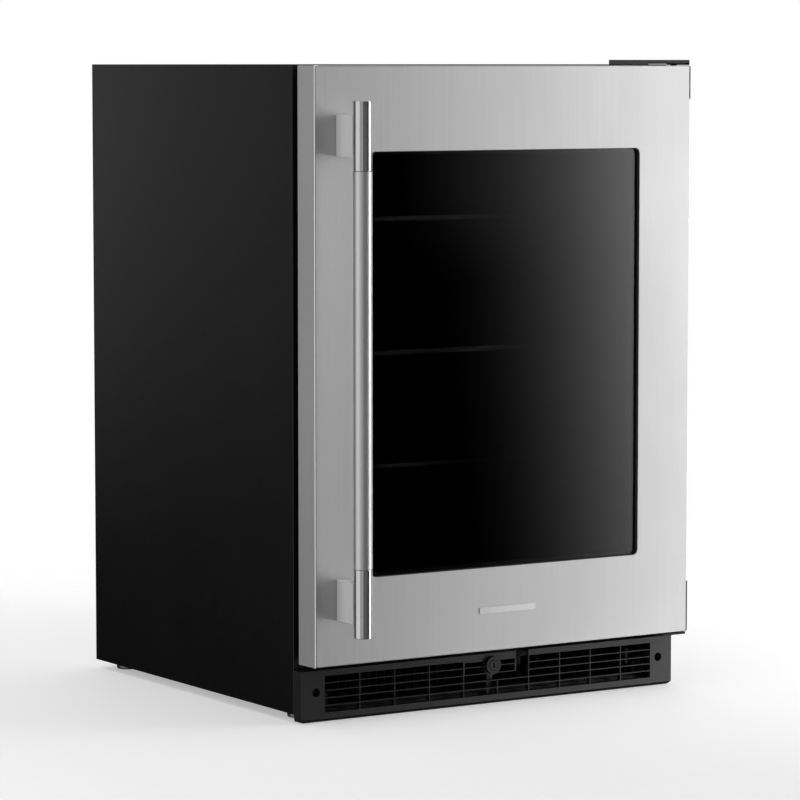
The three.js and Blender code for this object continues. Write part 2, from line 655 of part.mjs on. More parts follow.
// The bolt on the back of the lock: it hangs down when unlocked and turns up behind the grille.
const lockCam = () => {
  const at = [LOCK.x, LOCK.z];
  const tip = [LOCK.x, LOCK.z - CAM.reach];
  return join(
    bar("y", CAM.hub, CAM.y, at, 20),
    box(about(LOCK.x, 2 * CAM.tip), CAM.y, [tip[1], LOCK.z]),
    bar("y", CAM.tip, CAM.y, tip, 16),
  );
};

const base = () =>
  groupOf(
    piece("base_grille", "black_plastic", baseGrille()),
    piece("grille_screw_left", "zinc", grilleScrew(), [-SCREW.x, 0, SCREW.z]),
    piece("grille_screw_right", "zinc", grilleScrew(), [SCREW.x, 0, SCREW.z]),
    piece("lock_plate", "black_plastic", lockPlate()),
    piece("lock_housing", "black_plastic", lockHousing()),
    piece("lock_plug", "zinc", lockPlug()),
    piece("lock_cam", "black_paint", lockCam()),
  );

// ---------------------------------------------------------------- hinges
// The cover's left end is cut back at an angle.
const HINGE_COVER = { left: 166, slant: 110, front: DOOR_FACE + 2.5, back: -128, wall: 1.5 };
const COVER_Z = [HEIGHT + 0.5, HEIGHT + 6];
const TOP_BRACKET = { x: [264, 299], back: -152, thickness: 3 };
const topHingeBracket = () => {
  const { x, back, thickness } = TOP_BRACKET;
  const plate = box(x, [HINGE.y - 12, back], [COVER_Z[0], COVER_Z[0] + thickness]);
  return join(plate, bar("z", HINGE.pin, [HEIGHT - 14, HEIGHT + 2], [HINGE.x, HINGE.y], 20));
};

const coverOutline = (inset) => {
  const { left, slant, front, back } = HINGE_COVER;
  const slope = slant / (back - front);
  const edge = (y) => left + slope * (y - front) + inset * Math.hypot(1, slope);
  const [near, far] = [front + inset, back - inset];
  return outline([[edge(near), near], [HALF - inset, near], [HALF - inset, far], [edge(far), far]]);
};

// It reaches down to the door in front of the cabinet, and is open above the pin.
const COVER_OPENING = { left: 233, depth: 2.5, top: 868.7 };
const hingeCover = () => {
  const { wall, front, back } = HINGE_COVER;
  const { left, depth, top } = COVER_OPENING;
  const low = DOOR_TOP + 0.5;
  return cut(
    plan(coverOutline(0), [low, COVER_Z[1]]),
    plan(coverOutline(wall), [low - 1, COVER_Z[1] - wall]),
    box(both(HALF + 1), [CABINET_FRONT - 1, back + 1], [low - 1, COVER_Z[0]]),
    box([left, HALF - wall], [front - 1, front + depth], [low - 1, top]),
  );
};

// It carries the lower pin in front of the cabinet, and its tail is screwed to the front channel.
const BOTTOM_BRACKET = { x: [258, 302.5], back: -198, chamfer: 6, z: [76, 79], pin_top: 94 };
const bottomHingeBracket = () => {
  const { x, back, chamfer, z, pin_top } = BOTTOM_BRACKET;
  const front = DOOR_FACE + 3;
  const tail = CABINET_FRONT - FIT;
  const inside = HALF - FLANGE - FIT;
  const nose = [[x[0], front + chamfer], [x[0] + chamfer, front], [x[1], front]];
  const plate = outline([...nose, [x[1], tail], [inside, tail], [inside, back], [x[0], back]]);
  return join(plan(plate, z), bar("z", HINGE.pin, [z[1] - 1, pin_top], [HINGE.x, HINGE.y], 20));
};

const hinges = () =>
  groupOf(
    piece("top_hinge_bracket", "black_paint", topHingeBracket()),
    piece("hinge_cover", "black_plastic", hingeCover()),
    piece("bottom_hinge_bracket", "black_paint", bottomHingeBracket()),
  );

// ---------------------------------------------------------------- door
const windowZ = [WINDOW.bottom, WINDOW.top];
const glassX = both(WINDOW.half + GLASS_LAP);
const glassZ = grow(windowZ, GLASS_LAP);
const sightX = both(WINDOW.half - SIGHT);
const sightZ = grow(windowZ, -SIGHT);
const GLASS_FRONT = DOOR_FACE + GLASS_SET_BACK;
const PANE_GAP = 11;
const INNER_PANE = GLASS_FRONT + GLASS + PANE_GAP;
const LINING = 3.5; // plastic across the back of the door

const BORE_DEPTH = 20;
const hingeBores = () => [
  bar("z", HINGE.bore, [DOOR_BOTTOM - 1, DOOR_BOTTOM + BORE_DEPTH], [HINGE.x, HINGE.y], 20),
  bar("z", HINGE.bore, [DOOR_TOP - BORE_DEPTH, DOOR_TOP + 1], [HINGE.x, HINGE.y], 20),
];

// A steel tray folded round all four edges, with the window cut out of its front.
const doorX = [-HALF, DOOR_RIGHT];
const doorZ = [DOOR_BOTTOM, DOOR_TOP];
const doorSkin = () =>
  cut(
    box(doorX, [DOOR_FACE, DOOR_BACK], doorZ),
    box(grow(doorX, -SHEET), [DOOR_FACE + SHEET, DOOR_BACK + 1], grow(doorZ, -SHEET)),
    facing(rounded(both(WINDOW.half), windowZ, WINDOW.radius), [DOOR_FACE - 1, DOOR_BACK]),
    ...hingeBores(),
  );

const insideSkinX = grow(doorX, -SHEET - FIT);
const insideSkinZ = grow(doorZ, -SHEET - FIT);

const doorCore = () =>
  cut(
    box(insideSkinX, [DOOR_FACE + SHEET + FIT, DOOR_BACK - LINING - FIT], insideSkinZ),
    box(grow(glassX, FIT), [DOOR_FACE, DOOR_BACK], grow(glassZ, FIT)),
    ...hingeBores(),
  );

const doorInnerFrame = () =>
  cut(
    join(
      box(insideSkinX, [DOOR_BACK - LINING, DOOR_BACK], insideSkinZ),
      box(glassX, [INNER_PANE + GLASS + FIT, DOOR_BACK - 1], glassZ),
    ),
    facing(rounded(sightX, sightZ, 4), [DOOR_FACE, DOOR_BACK + 1]),
  );

const windowBezel = () => {
  const { half, radius } = WINDOW;
  const opening = rounded(both(half - BEZEL_LIP), grow(windowZ, -BEZEL_LIP), radius - BEZEL_LIP);
  return cut(
    box(glassX, [DOOR_FACE + SHEET + FIT, GLASS_FRONT - FIT], glassZ),
    facing(opening, [DOOR_FACE, GLASS_FRONT + 1]),
  );
};

const pane = (front) => box(glassX, [front, front + GLASS], glassZ);

const glassSpacer = () =>
  cut(
    box(glassX, [GLASS_FRONT + GLASS + FIT, INNER_PANE - FIT], glassZ),
    box(sightX, [GLASS_FRONT, INNER_PANE + GLASS], sightZ),
  );

const GASKET = { inset: 16, width: 19 };
const doorGasket = () => {
  const { inset, width } = GASKET;
  const outer = rounded(both(HALF - inset), grow(doorZ, -inset), 6);
  const inner = rounded(both(HALF - inset - width), grow(doorZ, -inset - width), 4);
  return ring(outer, inner, [DOOR_BACK + FIT, CABINET_FRONT - FIT]);
};

const HINGE_PLATE = { upper: 45, lower: 70, margin: 1 };
const upperPlateTop = DOOR_TOP - HINGE_PLATE.margin;
const lowerPlateBottom = DOOR_BOTTOM + HINGE_PLATE.margin;
const doorHingePlate = (z) => box([DOOR_RIGHT + FIT, HALF], [DOOR_FACE + 0.2, DOOR_BACK - 3], z);
const upperHingePlate = () => doorHingePlate([upperPlateTop - HINGE_PLATE.upper, upperPlateTop]);
const lowerHingePlate = () => doorHingePlate([lowerPlateBottom, lowerPlateBottom + HINGE_PLATE.lower]);

// The tab under the door that the lock's bolt catches.
const lockStrike = () => {
  const under = DOOR_BOTTOM - FIT;
  return join(
    box(STRIKE.x, [DOOR_FACE + 14, STRIKE.y[1]], [under - STRIKE.thickness, under]),
    box(STRIKE.x, STRIKE.y, [STRIKE.bottom, under]),
  );
};

const PLATE = { half: 45.5, z: [131.5, 140.5], corner: 2, thickness: 0.7 };
const nameplate = () => {
  const back = DOOR_FACE - FIT;
  return facing(rounded(both(PLATE.half), PLATE.z, PLATE.corner), [back - PLATE.thickness, back], 3);
};

const handleAxis = [HANDLE.x, DOOR_FACE - HANDLE_STANDOFF];
const handleRod = (range) => bar("z", HANDLE_DIAMETER / 2, range, handleAxis, 48);

// A post stands on the door and is hollowed to sit against the round bar.
const handlePost = (middle) =>
  cut(
    box(about(HANDLE.x, POST.width), [handleAxis[1], DOOR_FACE - FIT], about(middle, POST.height)),
    bar("z", HANDLE_DIAMETER / 2 + FIT, about(middle, POST.height + 2), handleAxis, 48),
  );

const handle = () => {
  const { bottom, top, ferrule, post } = HANDLE;
  return groupOf(
    piece("handle_grip", "stainless", handleRod([bottom + ferrule + FIT, top - ferrule - FIT])),
    piece("handle_ferrule_lower", "polished_steel", handleRod([bottom, bottom + ferrule])),
    piece("handle_ferrule_upper", "polished_steel", handleRod([top - ferrule, top])),
    piece("handle_post_lower", "stainless", handlePost(bottom + post)),
    piece("handle_post_upper", "stainless", handlePost(top - post)),
  );
};

const door = () =>
  groupOf(
    piece("door_skin", "stainless", doorSkin()),
    piece("door_core", "foam", doorCore()),
    piece("door_inner_frame", "black_plastic", doorInnerFrame()),
    piece("window_bezel", "black_plastic", windowBezel()),
    piece("glass_outer", "tinted_glass", pane(GLASS_FRONT)),
    piece("glass_spacer", "aluminium", glassSpacer()),
    piece("glass_inner", "clear_glass", pane(INNER_PANE)),
    piece("door_gasket", "rubber", doorGasket()),
    piece("door_hinge_plate_upper", "black_paint", upperHingePlate()),
    piece("door_hinge_plate_lower", "black_paint", lowerHingePlate()),
    piece("lock_strike", "black_paint", lockStrike()),
    piece("nameplate", "aluminium", nameplate()),
    handle(),
  );

const refrigerator = groupOf(cabinet(), interior(), machinery(), base(), hinges(), door());

export default refrigerator;
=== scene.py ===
"""The looks of an undercounter refrigerator with a glass door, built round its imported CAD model."""
import json
import math

import bpy
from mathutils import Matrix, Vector

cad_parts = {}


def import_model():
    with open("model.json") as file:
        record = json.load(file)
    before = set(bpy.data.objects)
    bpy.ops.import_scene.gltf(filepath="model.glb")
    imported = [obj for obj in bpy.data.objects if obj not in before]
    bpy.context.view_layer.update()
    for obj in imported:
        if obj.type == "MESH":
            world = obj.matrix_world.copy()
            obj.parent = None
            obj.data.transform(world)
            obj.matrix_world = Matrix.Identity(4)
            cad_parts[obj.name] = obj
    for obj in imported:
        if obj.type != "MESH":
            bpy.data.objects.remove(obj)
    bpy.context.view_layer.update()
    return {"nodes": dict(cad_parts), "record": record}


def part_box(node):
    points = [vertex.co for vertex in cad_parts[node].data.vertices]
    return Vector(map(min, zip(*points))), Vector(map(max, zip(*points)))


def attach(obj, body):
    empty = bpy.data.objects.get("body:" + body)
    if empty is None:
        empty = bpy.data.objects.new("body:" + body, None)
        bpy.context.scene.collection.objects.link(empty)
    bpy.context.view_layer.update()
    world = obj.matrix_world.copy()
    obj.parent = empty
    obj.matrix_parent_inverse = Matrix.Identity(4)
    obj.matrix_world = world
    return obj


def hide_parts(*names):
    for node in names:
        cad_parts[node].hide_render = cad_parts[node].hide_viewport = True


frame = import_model()
nodes = frame["nodes"]
MM = 0.001


# ------------------------------------------------------------------ materials
class Look:
    """One procedural material: a Principled shader and the nodes that feed it."""

    def __init__(self, name, **sockets):
        self.material = bpy.data.materials.new(name)
        self.material.use_nodes = True
        self.tree = self.material.node_tree
        self.shader = self.tree.nodes["Principled BSDF"]
        for key, value in sockets.items():
            self.feed(self.shader.inputs[key.replace("_", " ")], value)

    def feed(self, socket, value):
        if isinstance(value, bpy.types.NodeSocket):
            self.tree.links.new(value, socket)
        else:
            socket.default_value = value

    def add(self, kind, inputs, **settings):
        node = self.tree.nodes.new("ShaderNode" + kind)
        for key, value in settings.items():
            setattr(node, key, value)
        for key, value in inputs.items():
            self.feed(node.inputs[key], value)
        return node

    def where(self, stretch):
        """Object coordinates times stretch, so a pattern has stretch features to the metre."""
        source = self.add("TexCoord", {}).outputs["Object"]
        return self.add("VectorMath", {0: source, 1: stretch}, operation="MULTIPLY").outputs[0]

    def noise(self, stretch, detail=2.0, rough=0.5, distort=0.0):
        inputs = {"Vector": self.where(stretch), "Scale": 1.0, "Detail": detail}
        inputs.update({"Roughness": rough, "Distortion": distort})
        return self.add("TexNoise", inputs).outputs[0]

    def cells(self, stretch, feature="F1", output="Distance"):
        inputs = {"Vector": self.where(stretch), "Scale": 1.0, "Randomness": 1.0}
        return self.add("TexVoronoi", inputs, feature=feature).outputs[output]

    def span(self, value, into, out_of=(0.3, 0.7)):
        """value, read between the two ends of out_of, spread over into."""
        inputs = {"Value": value, "From Min": out_of[0], "From Max": out_of[1]}
        inputs.update({"To Min": into[0], "To Max": into[1]})
        return self.add("MapRange", inputs).outputs[0]

    def sum(self, a, b, operation="ADD"):
        return self.add("Math", {0: a, 1: b}, operation=operation).outputs[0]

    def tint(self, value, dark, light, out_of=(0.3, 0.7)):
        inputs = {0: self.span(value, (0.0, 1.0), out_of), 6: (*dark, 1.0), 7: (*light, 1.0)}
        return self.add("Mix", inputs, data_type="RGBA").outputs[2]

    def colour(self, socket):
        self.feed(self.shader.inputs["Base Color"], socket)

    def rough(self, socket):
        self.feed(self.shader.inputs["Roughness"], socket)

    def bump(self, height, depth):
        inputs = {"Height": height, "Distance": depth, "Strength": 1.0}
        self.feed(self.shader.inputs["Normal"], self.add("Bump", inputs).outputs[0])

    def along(self, axis):
        """The object coordinate along axis 0, 1 or 2."""
        source = self.add("TexCoord", {}).outputs["Object"]
        return self.add("SeparateXYZ", {0: source}).outputs[axis]

    def ease(self, socket, start, end):
        """0 before start and 1 after end, smoothly in between."""
        inputs = {"Value": socket, "From Min": start, "From Max": end}
        return self.add("MapRange", inputs, interpolation_type="SMOOTHSTEP").outputs[0]

    def times(self, a, b):
        return self.sum(a, b, "MULTIPLY")

    def surface(self, socket):
        self.feed(self.tree.nodes["Material Output"].inputs["Surface"], socket)


def grey(value):
    return (value, value, value)


def brushed(name, tone, roughness, spread, streak=1.0):
    """Metal with an upright grain: fine streaks, a few broad bands and soft cloudy handling marks."""
    look = Look(name, Metallic=1.0, Anisotropic=spread)
    fine = look.noise((1500, 1500, 7), 3.0)
    bands = look.noise((240, 240, 2.2), 2.0)
    cloud = look.noise((7, 7, 4), 3.0, 0.6)
    both = look.sum(look.span(fine, (0, 0.65)), look.span(bands, (0, 0.35)))
    low, high = tone
    look.colour(look.tint(both, grey(low), grey(high), (0, 1)))
    grain = look.span(both, (roughness - 0.03 * streak, roughness + 0.03 * streak), (0, 1))
    look.rough(look.sum(grain, look.span(cloud, (-0.02, 0.02))))
    look.bump(both, 0.006 * MM * streak)
    tangent = look.add("Tangent", {}, direction_type="RADIAL", axis="Z").outputs[0]
    look.feed(look.shader.inputs["Tangent"], tangent)
    return look.material


def polished(name, tone, roughness):
    look = Look(name, Metallic=1.0)
    lines = look.noise((900, 900, 12), 2.0)
    cloud = look.noise((30, 30, 20), 3.0)
    look.colour(look.tint(cloud, grey(tone - 0.03), grey(tone)))
    look.rough(look.span(lines, (roughness, roughness + 0.05)))
    look.bump(lines, 0.002 * MM)
    return look.material


def folded_rim():
    """The skin's folded edge: a painted highlight along the handle side, where the colour is near white
    and the metal smoother; grained like the front elsewhere.
    """
    look = Look("stainless_rim", Metallic=1.0)
    lines = look.noise((900, 900, 12), 2.0)
    # Painted highlight: the rim's colour is far lighter along the handle side than elsewhere.
    side = look.span(look.along(0), (1.0, 0.0), (-0.299, -0.296))
    look.colour(look.tint(side, grey(0.5), grey(0.97), (0, 1)))
    handle_side_roughness = look.span(side, (0.5, 0.16), (0, 1))
    look.rough(look.sum(handle_side_roughness, look.span(lines, (0.0, 0.05))))
    look.bump(lines, 0.002 * MM)
    return look.material


def leather_paint():
    """Black enamel on embossed sheet: a pebbled skin with fine creases between the pebbles."""
    look = Look("wrapper_paint", Specular_IOR_Level=0.42)
    warp = look.noise((60, 60, 60), 2.0)
    creases = look.cells((330, 330, 330), "DISTANCE_TO_EDGE")
    pebble = look.span(creases, (0.0, 1.0), (0.0, 0.22))
    fine = look.noise((1300, 1300, 1300), 2.0)
    height = look.sum(look.sum(pebble, look.span(fine, (0.0, 0.3))), look.span(warp, (0, 0.4)))
    # Painted shade in the creases: the colour follows the height and is darker between the pebbles, with
    # random tone from the fine noise and the warp.
    look.colour(look.tint(height, (0.003, 0.003, 0.0034), (0.007, 0.007, 0.0075), (0.3, 1.5)))
    cloud = look.noise((5, 5, 5), 3.0, 0.6)
    base = look.span(cloud, (0.32, 0.38))
    look.rough(look.sum(base, look.span(fine, (-0.03, 0.03))))
    look.bump(height, 0.05 * MM)
    return look.material


def zinc_sheet():
    """Hot-dipped sheet: flat crystals of slightly different tone, with dull streaks from handling."""
    look = Look("galvanised_sheet", Metallic=1.0)
    spangle = look.cells((150, 150, 150), "F1", "Color")
    shade = look.add("SeparateColor", {"Color": spangle}).outputs[0]
    feather = look.noise((520, 520, 140), 3.0)
    cloud = look.noise((6, 6, 3), 4.0, 0.6)
    both = look.sum(look.span(shade, (0, 0.7), (0, 1)), look.span(feather, (0, 0.3)))
    look.colour(look.tint(both, (0.5, 0.51, 0.525), (0.6, 0.61, 0.625), (0, 1)))
    look.rough(look.sum(look.span(shade, (0.4, 0.46), (0, 1)), look.span(cloud, (-0.04, 0.06))))
    look.bump(feather, 0.01 * MM)
    return look.material


def moulded(name, dark, light, roughness, grain=1600, depth=0.02, level=0.5):
    """Moulded plastic: an even eroded grain, faint flow marks and slightly rubbed patches."""
    look = Look(name, Specular_IOR_Level=level)
    erosion = look.noise((grain, grain, grain), 3.0, 0.6)
    flow = look.noise((26, 26, 9), 3.0, 0.55, 0.6)
    both = look.sum(look.span(erosion, (0, 0.6)), look.span(flow, (0, 0.4)))
    look.colour(look.tint(both, grey(dark), grey(light), (0, 1)))
    look.rough(look.sum(look.span(flow, (roughness - 0.04, roughness + 0.04)),
                        look.span(erosion, (-0.03, 0.03))))
    look.bump(erosion, depth * MM)
    return look.material


def enamel(name, dark, light, roughness, peel=260, depth=0.02, level=0.5):
    """Sprayed paint with orange peel and a little dust in it."""
    look = Look(name, Specular_IOR_Level=level)
    skin = look.noise((peel, peel, peel), 2.0)
    dust = look.cells((900, 900, 900))
    cloud = look.noise((14, 14, 10), 3.0)
    look.colour(look.tint(cloud, grey(dark), grey(light)))
    look.rough(look.sum(look.span(cloud, (roughness - 0.04, roughness + 0.05)),
                        look.span(dust, (0.06, 0.0), (0.0, 0.25))))
    look.bump(skin, depth * MM)
    return look.material


def plated(name, dark, light, roughness):
    """Plated or bare metal with rolling marks and a patchy dull film."""
    look = Look(name, Metallic=1.0)
    lines = look.noise((700, 700, 700), 3.0, 0.6)
    patch = look.noise((60, 60, 60), 4.0, 0.6)
    both = look.sum(look.span(lines, (0, 0.4)), look.span(patch, (0, 0.6)))
    look.colour(look.tint(both, grey(dark), grey(light), (0, 1)))
    look.rough(look.span(both, (roughness + 0.12, roughness), (0, 1)))
    look.bump(lines, 0.008 * MM)
    return look.material


def foam():
    look = Look("foam")
    bubbles = look.cells((260, 260, 260), "SMOOTH_F1")
    cloud = look.noise((12, 12, 12), 3.0)
    both = look.sum(look.span(bubbles, (0.5, 0), (0, 0.6)), look.span(cloud, (0, 0.5)))
    look.colour(look.tint(both, (0.5, 0.36, 0.14), (0.8, 0.68, 0.38), (0, 1)))
    look.rough(look.span(cloud, (0.75, 0.9)))
    look.bump(bubbles, 0.6 * MM)
    return look.material


def rubber():
    look = Look("gasket_rubber", Specular_IOR_Level=0.4)
    skin = look.noise((800, 800, 800), 3.0)
    bloom = look.noise((18, 18, 18), 3.0, 0.6)
    look.colour(look.tint(bloom, grey(0.012), grey(0.026)))
    look.rough(look.span(bloom, (0.5, 0.66)))
    look.bump(skin, 0.015 * MM)
    return look.material


def glass(name, tint):
    """Glass that lamps shine through: its shadow is only as dark as its tint."""
    look = Look(name, Transmission_Weight=1.0, IOR=1.5, Roughness=0.0)
    film = look.noise((9, 9, 9), 4.0, 0.6)
    deeper = tuple(c * 0.94 for c in tint)
    shade = look.tint(film, deeper, tint)
    look.colour(shade)
    clear = look.add("BsdfTransparent", {"Color": shade}).outputs[0]
    shadow = look.add("LightPath", {}).outputs["Is Shadow Ray"]
    pick = look.add("MixShader", {0: shadow, 1: look.shader.outputs[0], 2: clear}).outputs[0]
    look.surface(pick)
    return look.material


def lens():
    look = Look("lamp_lens", Transmission_Weight=0.35, IOR=1.5)
    frost = look.noise((1400, 1400, 1400), 2.0)
    cloud = look.noise((20, 20, 20), 3.0)
    look.colour(look.tint(cloud, (0.74, 0.77, 0.78), (0.86, 0.88, 0.89)))
    look.rough(look.span(frost, (0.45, 0.6)))
    look.bump(frost, 0.02 * MM)
    return look.material


def smoked_lens():
    look = Look("display_lens", Coat_Weight=0.6, Coat_Roughness=0.04)
    film = look.noise((60, 60, 60), 3.0)
    look.colour(look.tint(film, grey(0.004), grey(0.009)))
    look.rough(look.span(film, (0.08, 0.16)))
    return look.material


LOOKS = {
    "wrapper_paint": leather_paint(),
    "galvanised_sheet": zinc_sheet(),
    "frame_paint": enamel("frame_paint", 0.006, 0.011, 0.48, 700, 0.03, 0.2),
    "foam": foam(),
    "liner": moulded("liner", 0.05, 0.065, 0.4, 900, 0.015),
    "black_plastic": moulded("black_plastic", 0.008, 0.014, 0.5, level=0.3),
    "bezel_plastic": moulded("bezel_plastic", 0.03, 0.042, 0.42, level=0.4),
    "shelf_glass": glass("shelf_glass", (0.9, 0.96, 0.94)),
    "shelf_trim": brushed("shelf_trim", (0.4, 0.48), 0.34, 0.3),
    "coil_aluminium": plated("coil_aluminium", 0.5, 0.68, 0.25),
    "fan_plastic": moulded("fan_plastic", 0.016, 0.026, 0.4),
    "display_lens": smoked_lens(),
    "button_plastic": moulded("button_plastic", 0.18, 0.24, 0.42),
    "lamp_lens": lens(),
    "compressor_paint": enamel("compressor_paint", 0.008, 0.014, 0.24, 140, 0.05),
    # The coil's near-black enamel is partly a black coating, partly painted shade that keeps the grille's
    # slots dark.
    "coil_enamel": enamel("coil_enamel", 0.002, 0.004, 0.6, 300, 0.02, 0.15),
    "pan_plastic": moulded("pan_plastic", 0.07, 0.1, 0.5),
    "grille_plastic": moulded("grille_plastic", 0.009, 0.015, 0.44, 1300, 0.03, 0.38),
    "screw_steel": plated("screw_steel", 0.2, 0.36, 0.32),
    "lock_black": enamel("lock_black", 0.005, 0.009, 0.34, 500, 0.01, 0.35),
    "stainless": brushed("stainless", (0.62, 0.68), 0.54, 0.55),
    "tinted_glass": glass("tinted_glass", (0.2, 0.205, 0.21)),
    "spacer_aluminium": plated("spacer_aluminium", 0.2, 0.3, 0.4),
    "clear_glass": glass("clear_glass", (0.88, 0.92, 0.91)),
    "gasket_rubber": rubber(),
    "nameplate": brushed("nameplate", (0.66, 0.72), 0.4, 0.5),
    # Painted light: the posts' stainless is far lighter than the grip's, so the posts read brightly lit.
    "post_satin": brushed("post_satin", (0.9, 0.97), 0.62, 0.85, 0.5),
    "handle_brushed": brushed("handle_brushed", (0.7, 0.77), 0.36, 0.5),
    "handle_polished": polished("handle_polished", 0.7, 0.18),
    # Painted shade: the legs' zinc is made dark so the legs read dim behind the grille.
    "leg_zinc": plated("leg_zinc", 0.18, 0.28, 0.4),
}

# ------------------------------------------------------------------ CAD nodes
SLOT_OF = {part["node"]: part["material_slot"] for part in frame["record"]["subparts"]}

# How far each node's sharp edges are rounded, in millimetres; the rest get EDGE.
EDGE = 0.4
EDGES = {
    "door_skin": 0.5,
    "outer_wrapper": 0.5,
    "inner_liner": 0.6,
    "breaker_frame": 1.0,
    "base_grille": 0.3,
    "hinge_cover": 0.9,
    "handle_grip": 0.25,
    "handle_ferrule_lower": 0.7,
    "handle_ferrule_upper": 0.7,
    "handle_post_lower": 0.8,
    "handle_post_upper": 0.8,
    "nameplate": 0.15,
    "glass_outer": 0.3,
    "glass_inner": 0.3,
    "evaporator_cover": 1.0,
    "control_housing": 1.0,
    "drain_pan": 0.8,
    "lamp_lens": 0.6,
}
TRIANGULATED = {"base_grille", "lock_plate"}  # merging these faces round their openings spoils them


def round_off(node, width, segments):
    """A bevel whose edges the caller picks."""
    bevel = node.modifiers.new("edges", "BEVEL")
    bevel.width = width * MM
    bevel.segments = segments
    bevel.miter_outer = "MITER_ARC"
    return bevel


def round_sharp(node, width):
    """Rounds every sharp edge and keeps the flat faces flat in the shading."""
    bevel = round_off(node, width, 2)
    bevel.limit_method = "ANGLE"
    bevel.angle_limit = math.radians(32)
    node.modifiers.new("normals", "WEIGHTED_NORMAL").mode = "FACE_AREA"


def soften(name, width, segments, chosen):
    """Gives the edges between the vertices that chosen(x, y, z) picks, in millimetres, a larger radius."""
    node = nodes[name]
    group = node.vertex_groups.new(name="soft")
    picked = [v.index for v in node.data.vertices if chosen(*(c / MM for c in v.co))]
    group.add(picked, 1.0, "REPLACE")
    bevel = round_off(node, width, segments)
    bevel.limit_method = "VGROUP"
    bevel.vertex_group = group.name
    # The door skin's rounded rim takes the rim material, whose handle side carries a painted highlight.
    if name == "door_skin":
        node.data.materials.append(folded_rim())
        bevel.material = 1


def near(value, *targets):
    return any(abs(value - target) < 0.02 for target in targets)


def dress(name):
    """Gives a CAD node its material, smooth round faces and rounded edges."""
    node = nodes[name]
    mesh = node.data
    mesh.materials.clear()
    mesh.materials.append(LOOKS[SLOT_OF[name]])
    for kept in ("custom_normal", "sharp_face"):
        if kept in mesh.attributes:
            mesh.attributes.remove(mesh.attributes[kept])
    weld = node.modifiers.new("weld", "WELD")
    weld.merge_threshold = 0.01 * MM
    if name not in TRIANGULATED:
        flat = node.modifiers.new("planes", "DECIMATE")
        flat.decimate_type = "DISSOLVE"
        flat.angle_limit = math.radians(1.0)
    if name in SOFT:
        soften(name, *SOFT[name])
    round_sharp(node, EDGES.get(name, EDGE))


def corners(name):
    """A CAD node's (x0, y0, z0, x1, y1, z1) in millimetres."""
    low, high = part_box(name)
    return [c / MM for c in (*low, *high)]


def door_rim(x, y, z):
    return near(y, skin[1]) and near(x, skin[0], skin[3]) and near(z, skin[2], skin[5])


def wrapper_rim(x, y, z):
    return near(y, shell[1]) and near(x, shell[0], shell[3]) and near(z, shell[5], shell[2])


def liner_coves(x, y, z):
    inside = near(abs(x), liner[3] - LINER_WALL) and y > liner[1] + 1
    return inside and liner[2] + 1 < z < liner[5] - 1 and y < liner[4] - 1


LINER_WALL = 1.5
skin, shell, liner = corners("door_skin"), corners("outer_wrapper"), corners("inner_liner")
SOFT = {
    "door_skin": (1.8, 4, door_rim),
    "outer_wrapper": (1.1, 3, wrapper_rim),
    "inner_liner": (14, 5, liner_coves),
}
for name in nodes:
    dress(name)


# ------------------------------------------------------------------ gasket
# The bellows seal's section: how far in from its outer edge, and how far from the door towards the
# cabinet, as shares of its width and its depth. A dart foot, two folds and the box of the magnet.
SEAL_WIDTH = 19.0
SEAL_EDGE = 0.25
SEAL_SECTION = [
    (0.15, 0.0), (0.85, 0.0), (0.85, 0.12), (0.62, 0.2), (0.72, 0.34), (0.6, 0.48), (0.72, 0.6),
    (0.95, 0.66), (1.0, 0.72), (1.0, 0.96), (0.95, 1.0), (0.2, 1.0), (0.12, 0.94), (0.12, 0.72),
    (0.0, 0.62), (0.0, 0.56), (0.3, 0.5), (0.2, 0.38), (0.3, 0.24), (0.15, 0.12),
]
SEAL_CORNER = (8.0, 3.0)  # corner radius at the outer and at the inner edge


def rounded_loop(x0, x1, z0, z1, radius, steps=6):
    """Points (x, z) round a rectangle with rounded corners."""
    centres = [(x1 - radius, z1 - radius, 0), (x0 + radius, z1 - radius, 90)]
    centres += [(x0 + radius, z0 + radius, 180), (x1 - radius, z0 + radius, 270)]
    loop = []
    for cx, cz, start in centres:
        for i in range(steps + 1):
            angle = math.radians(start + 90 * i / steps)
            loop.append((cx + radius * math.cos(angle), cz + radius * math.sin(angle)))
    return loop


def seal():
    """The door's magnetic seal, with its folds, in place of the plain ring."""
    x0, y0, z0, x1, y1, z1 = corners("door_gasket")
    outer, inner = SEAL_CORNER
    rings = []
    for share, depth in SEAL_SECTION:
        inset = share * SEAL_WIDTH
        loop = rounded_loop(x0 + inset, x1 - inset, z0 + inset, z1 - inset,
                            outer + (inner - outer) * share)
        y = y0 + depth * (y1 - y0)
        rings.append([Vector((x, y, z)) * MM for x, z in loop])
    count, around = len(rings), len(rings[0])
    faces = []
    for i in range(count):
        ahead = (i + 1) % count
        for j in range(around):
            k = (j + 1) % around
            faces.append((i * around + j, ahead * around + j, ahead * around + k, i * around + k))
    mesh = bpy.data.meshes.new("gasket_bellows")
    mesh.from_pydata([point for ring in rings for point in ring], [], faces)
    mesh.materials.append(LOOKS["gasket_rubber"])
    made = bpy.data.objects.new("gasket_bellows", mesh)
    bpy.context.scene.collection.objects.link(made)
    round_sharp(made, SEAL_EDGE)
    for face in mesh.polygons:
        face.use_smooth = True
    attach(made, "door")
    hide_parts("door_gasket")


seal()

# ------------------------------------------------------------------ studio
UNDER = -1.0  # lower edge of the cards
EYE_LEVEL = 1.9  # upper edge of most of them
SLANT = 0.15  # how far the right softbox's faded edge leans, metres per metre of height


